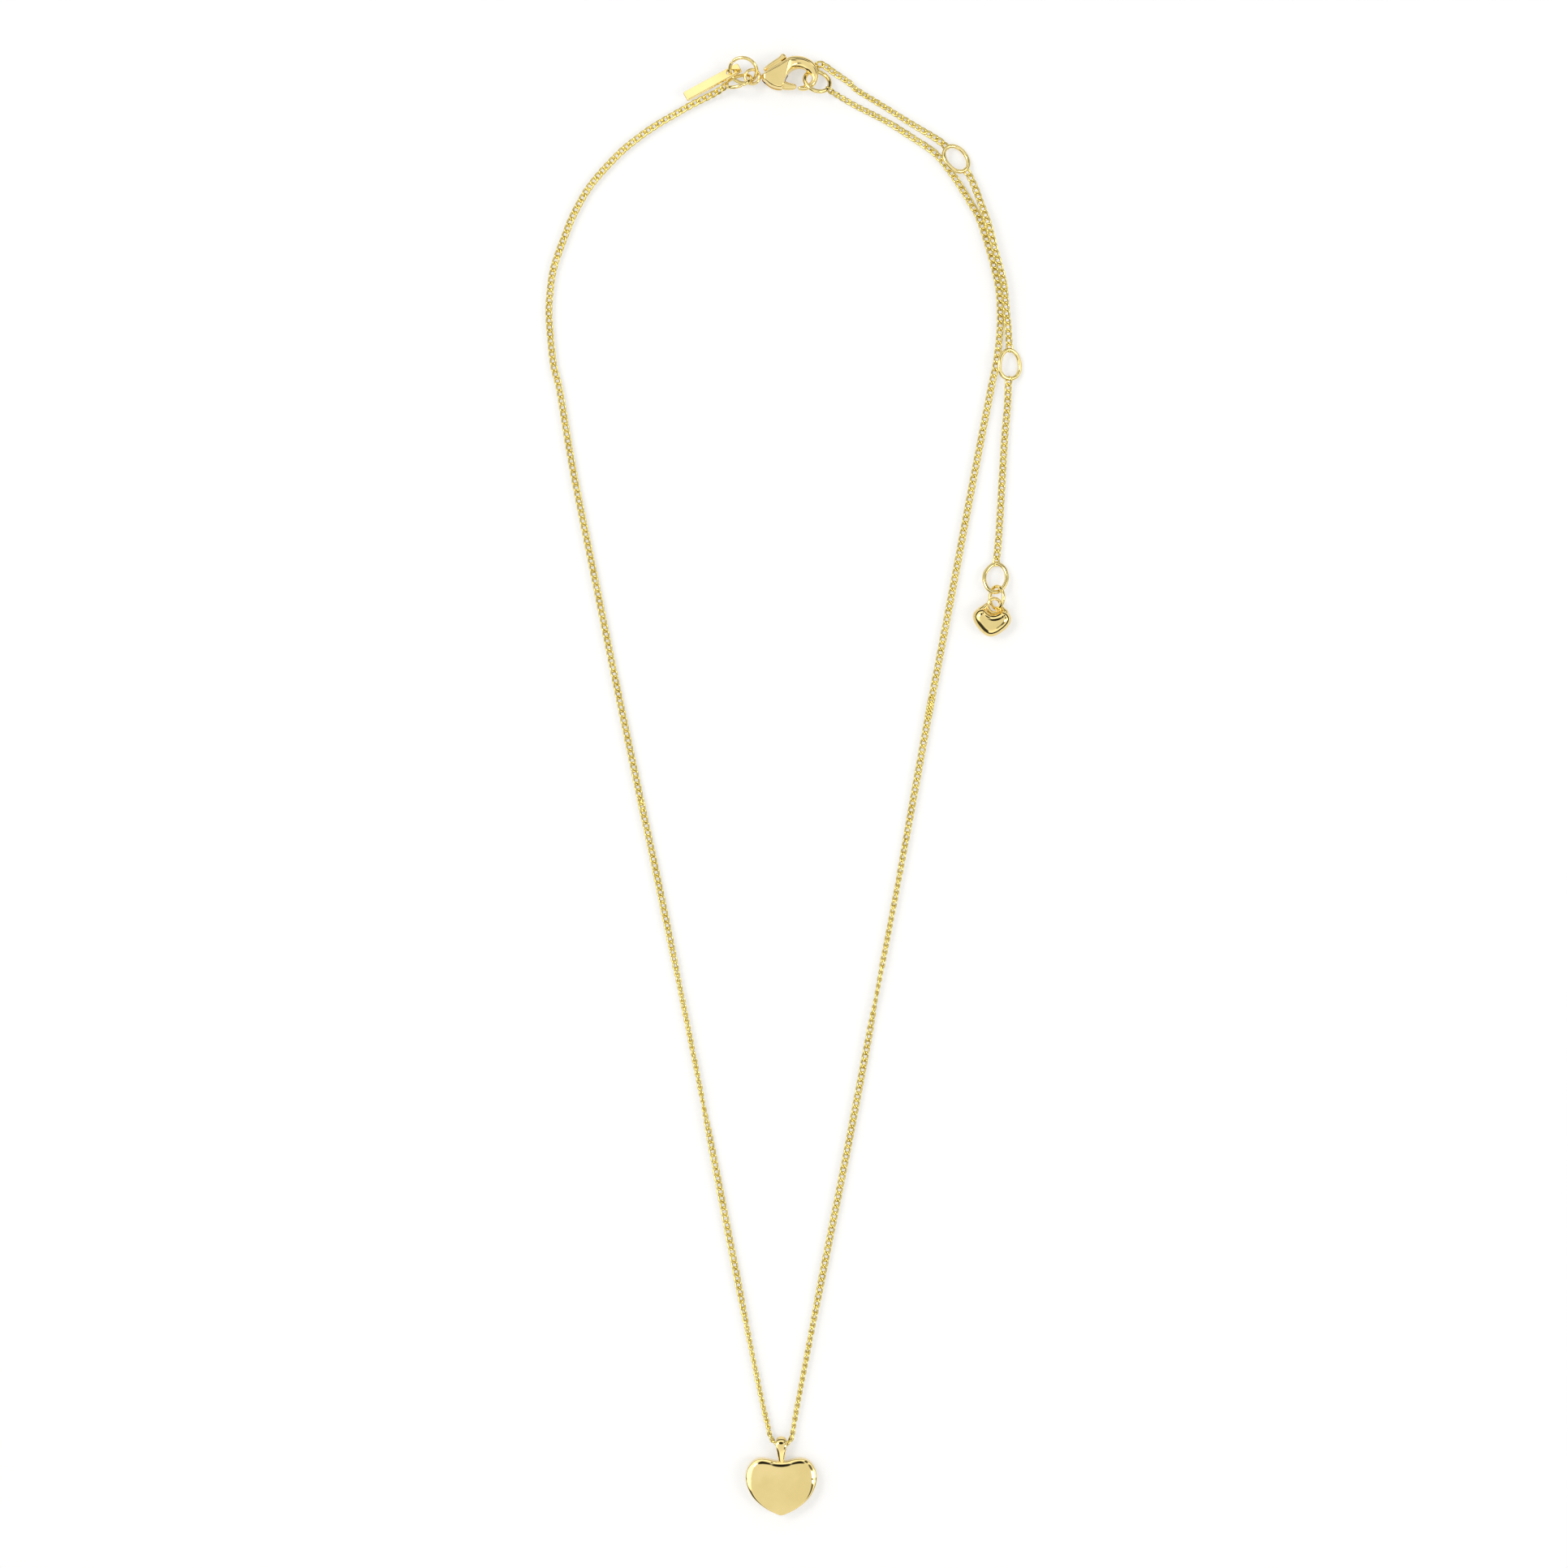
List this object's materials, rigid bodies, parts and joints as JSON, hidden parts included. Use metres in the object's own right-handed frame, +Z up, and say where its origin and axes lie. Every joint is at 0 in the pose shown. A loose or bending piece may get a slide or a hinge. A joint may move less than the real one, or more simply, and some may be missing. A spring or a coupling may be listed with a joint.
{
  "type": "pendant necklace",
  "caption": "Yellow gold curb-chain necklace with a polished heart pendant on a bail, a lobster clasp, a ringed extension chain ending in a small heart charm, and a blank tag.",
  "frame": {"origin": "centre of the lying necklace's outline, on the table", "axes": "+Y along the necklace towards the clasp, +X towards the extension chain's side, +Z up from the table"},
  "size_m": [0.0654, 0.2002, 0.0036],
  "materials": {
    "gold_polished": "mirror polished yellow gold",
    "gold_wire": "polished yellow gold wire",
    "gold_chain": "polished yellow gold curb links",
    "gold_deep": "plain gold-coloured metal, mostly hidden"
  },
  "bodies": {
    "clasp": {"clasp_body": "gold_polished", "clasp_rivet": "gold_deep", "clasp_spring": "gold_deep", "hook_ring": "gold_wire"},
    "lever": {"clasp_lever": "gold_polished"},
    "left_upper": {"end_ring_left": "gold_wire", "tag_ring": "gold_wire", "chain_left_upper": "gold_chain"},
    "tag": {"tag_plate": "gold_polished"},
    "left_lower": {"chain_left_lower": "gold_chain"},
    "right_upper": {"chain_right_upper": "gold_chain"},
    "right_lower": {"chain_right_lower": "gold_chain"},
    "bottom": {"chain_bottom": "gold_chain"},
    "pendant": {"pendant_heart": "gold_polished", "pendant_bail": "gold_polished"},
    "extension_upper": {"extension_chain_1": "gold_chain", "adjust_ring_1": "gold_wire"},
    "extension_middle": {"extension_chain_2": "gold_chain", "adjust_ring_2": "gold_wire"},
    "extension_end": {"extension_chain_3": "gold_chain", "end_ring_right": "gold_wire"},
    "charm_link": {"charm_ring": "gold_wire"},
    "charm": {"charm_heart": "gold_polished"}
  },
  "joints": [
    {"name": "lever_pivot", "type": "hinge", "parent": "clasp", "child": "lever", "pos_m": [-0.0016, 0.09642, 0.0015], "axis": [0, 0, 1], "range_deg": [0, 17], "stiffness_Nm_per_rad": 0.002, "springref_deg": -5.73},
    {"name": "loop_spread", "type": "hinge", "parent": "clasp", "child": "left_upper", "pos_m": [-0.00428, 0.09675, 0.0015], "axis": [0, 0, -1], "range_deg": [0, 12]},
    {"name": "left_waist", "type": "hinge", "parent": "left_upper", "child": "left_lower", "pos_m": [-0.0195, -0.00269, 0.00057], "axis": [0, 0, 1], "range_deg": [0, 24]},
    {"name": "right_top", "type": "hinge", "parent": "clasp", "child": "right_upper", "pos_m": [0.00608, 0.09514, 0.0013], "axis": [0, 0, 1], "range_deg": [0, 12]},
    {"name": "right_waist", "type": "hinge", "parent": "right_upper", "child": "right_lower", "pos_m": [0.02, 0.0101, 0.00057], "axis": [0, 0, -1], "range_deg": [0, 24]},
    {"name": "bottom_link", "type": "hinge", "parent": "right_lower", "child": "bottom", "pos_m": [0.00133, -0.08852, 0.00057], "axis": [0, 0, 1], "range_deg": [0, 12]},
    {"name": "pendant_swing", "type": "hinge", "parent": "bottom", "child": "pendant", "pos_m": [-0.00032, -0.09034, 0.00115], "axis": [-1, 0, 0], "range_deg": [0, 110]},
    {"name": "extension_top", "type": "hinge", "parent": "clasp", "child": "extension_upper", "pos_m": [0.00461, 0.0977, 0.00055], "axis": [0, 0, 1], "range_deg": [0, 12]},
    {"name": "extension_swing", "type": "hinge", "parent": "extension_upper", "child": "extension_middle", "pos_m": [0.02487, 0.08408, 0.00085], "axis": [0, 0, 1], "range_deg": [0, 25]},
    {"name": "extension_end_swing", "type": "hinge", "parent": "extension_middle", "child": "extension_end", "pos_m": [0.0309, 0.05545, 0.0008], "axis": [0, 0, 1], "range_deg": [0, 35]},
    {"name": "charm_ring_turn", "type": "hinge", "parent": "extension_end", "child": "charm_link", "pos_m": [0.02898, 0.02635, 0.00125], "axis": [0, 0, 1], "range_deg": [-8, 8]},
    {"name": "charm_swing", "type": "hinge", "parent": "charm_link", "child": "charm", "pos_m": [0.02917, 0.0255, 0.00152], "axis": [-0.8241, 0, 0.5664], "range_deg": [0, 30]},
    {"name": "tag_swing", "type": "hinge", "parent": "left_upper", "child": "tag", "pos_m": [-0.00552, 0.09755, 0.00185], "axis": [0.1531, 0.5557, -0.8171], "range_deg": [0, 25]}
  ],
  "couplings": [
    {"joint": "left_waist", "follows": "loop_spread", "ratio": 2},
    {"joint": "right_top", "follows": "loop_spread", "ratio": 1},
    {"joint": "right_waist", "follows": "loop_spread", "ratio": 2},
    {"joint": "bottom_link", "follows": "loop_spread", "ratio": 1},
    {"joint": "extension_top", "follows": "loop_spread", "ratio": 1}
  ]
}
